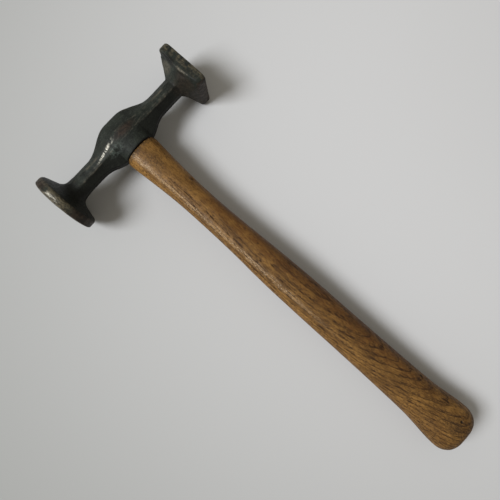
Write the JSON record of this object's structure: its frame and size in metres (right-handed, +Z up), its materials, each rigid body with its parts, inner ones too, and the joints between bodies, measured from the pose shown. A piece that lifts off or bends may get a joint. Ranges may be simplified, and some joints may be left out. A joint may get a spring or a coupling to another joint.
{
  "type": "body hammer",
  "caption": "Auto body hammer lying on its side: forged head with a round disc face and a flared square face, wedged on a waisted hardwood handle.",
  "frame": {"origin": "on the bench, under the middle of the box of the hammer lying on its side", "axes": "+X along the head towards the square face, +Y along the handle from butt to head, +Z up from the bench. The head's axis is tipped 1.73 degrees down towards the square face and the handle 1.75 degrees down towards the butt, as the hammer rests on its disc, the plate's edge and the butt."},
  "size_m": [0.1302, 0.3244, 0.0461],
  "materials": {
    "forged_steel": "dark forged steel, satin, worn bright and browned on the rims",
    "handle_wood": "oiled ring-porous hardwood with dark pores, worn",
    "wedge_wood": "bare end grain",
    "wedge_steel": "dull steel"
  },
  "bodies": {
    "root": {"head": "forged_steel", "handle": "handle_wood", "wood_wedge": "wedge_wood", "steel_wedge_round": "wedge_steel", "steel_wedge_square": "wedge_steel"}
  },
  "joints": []
}
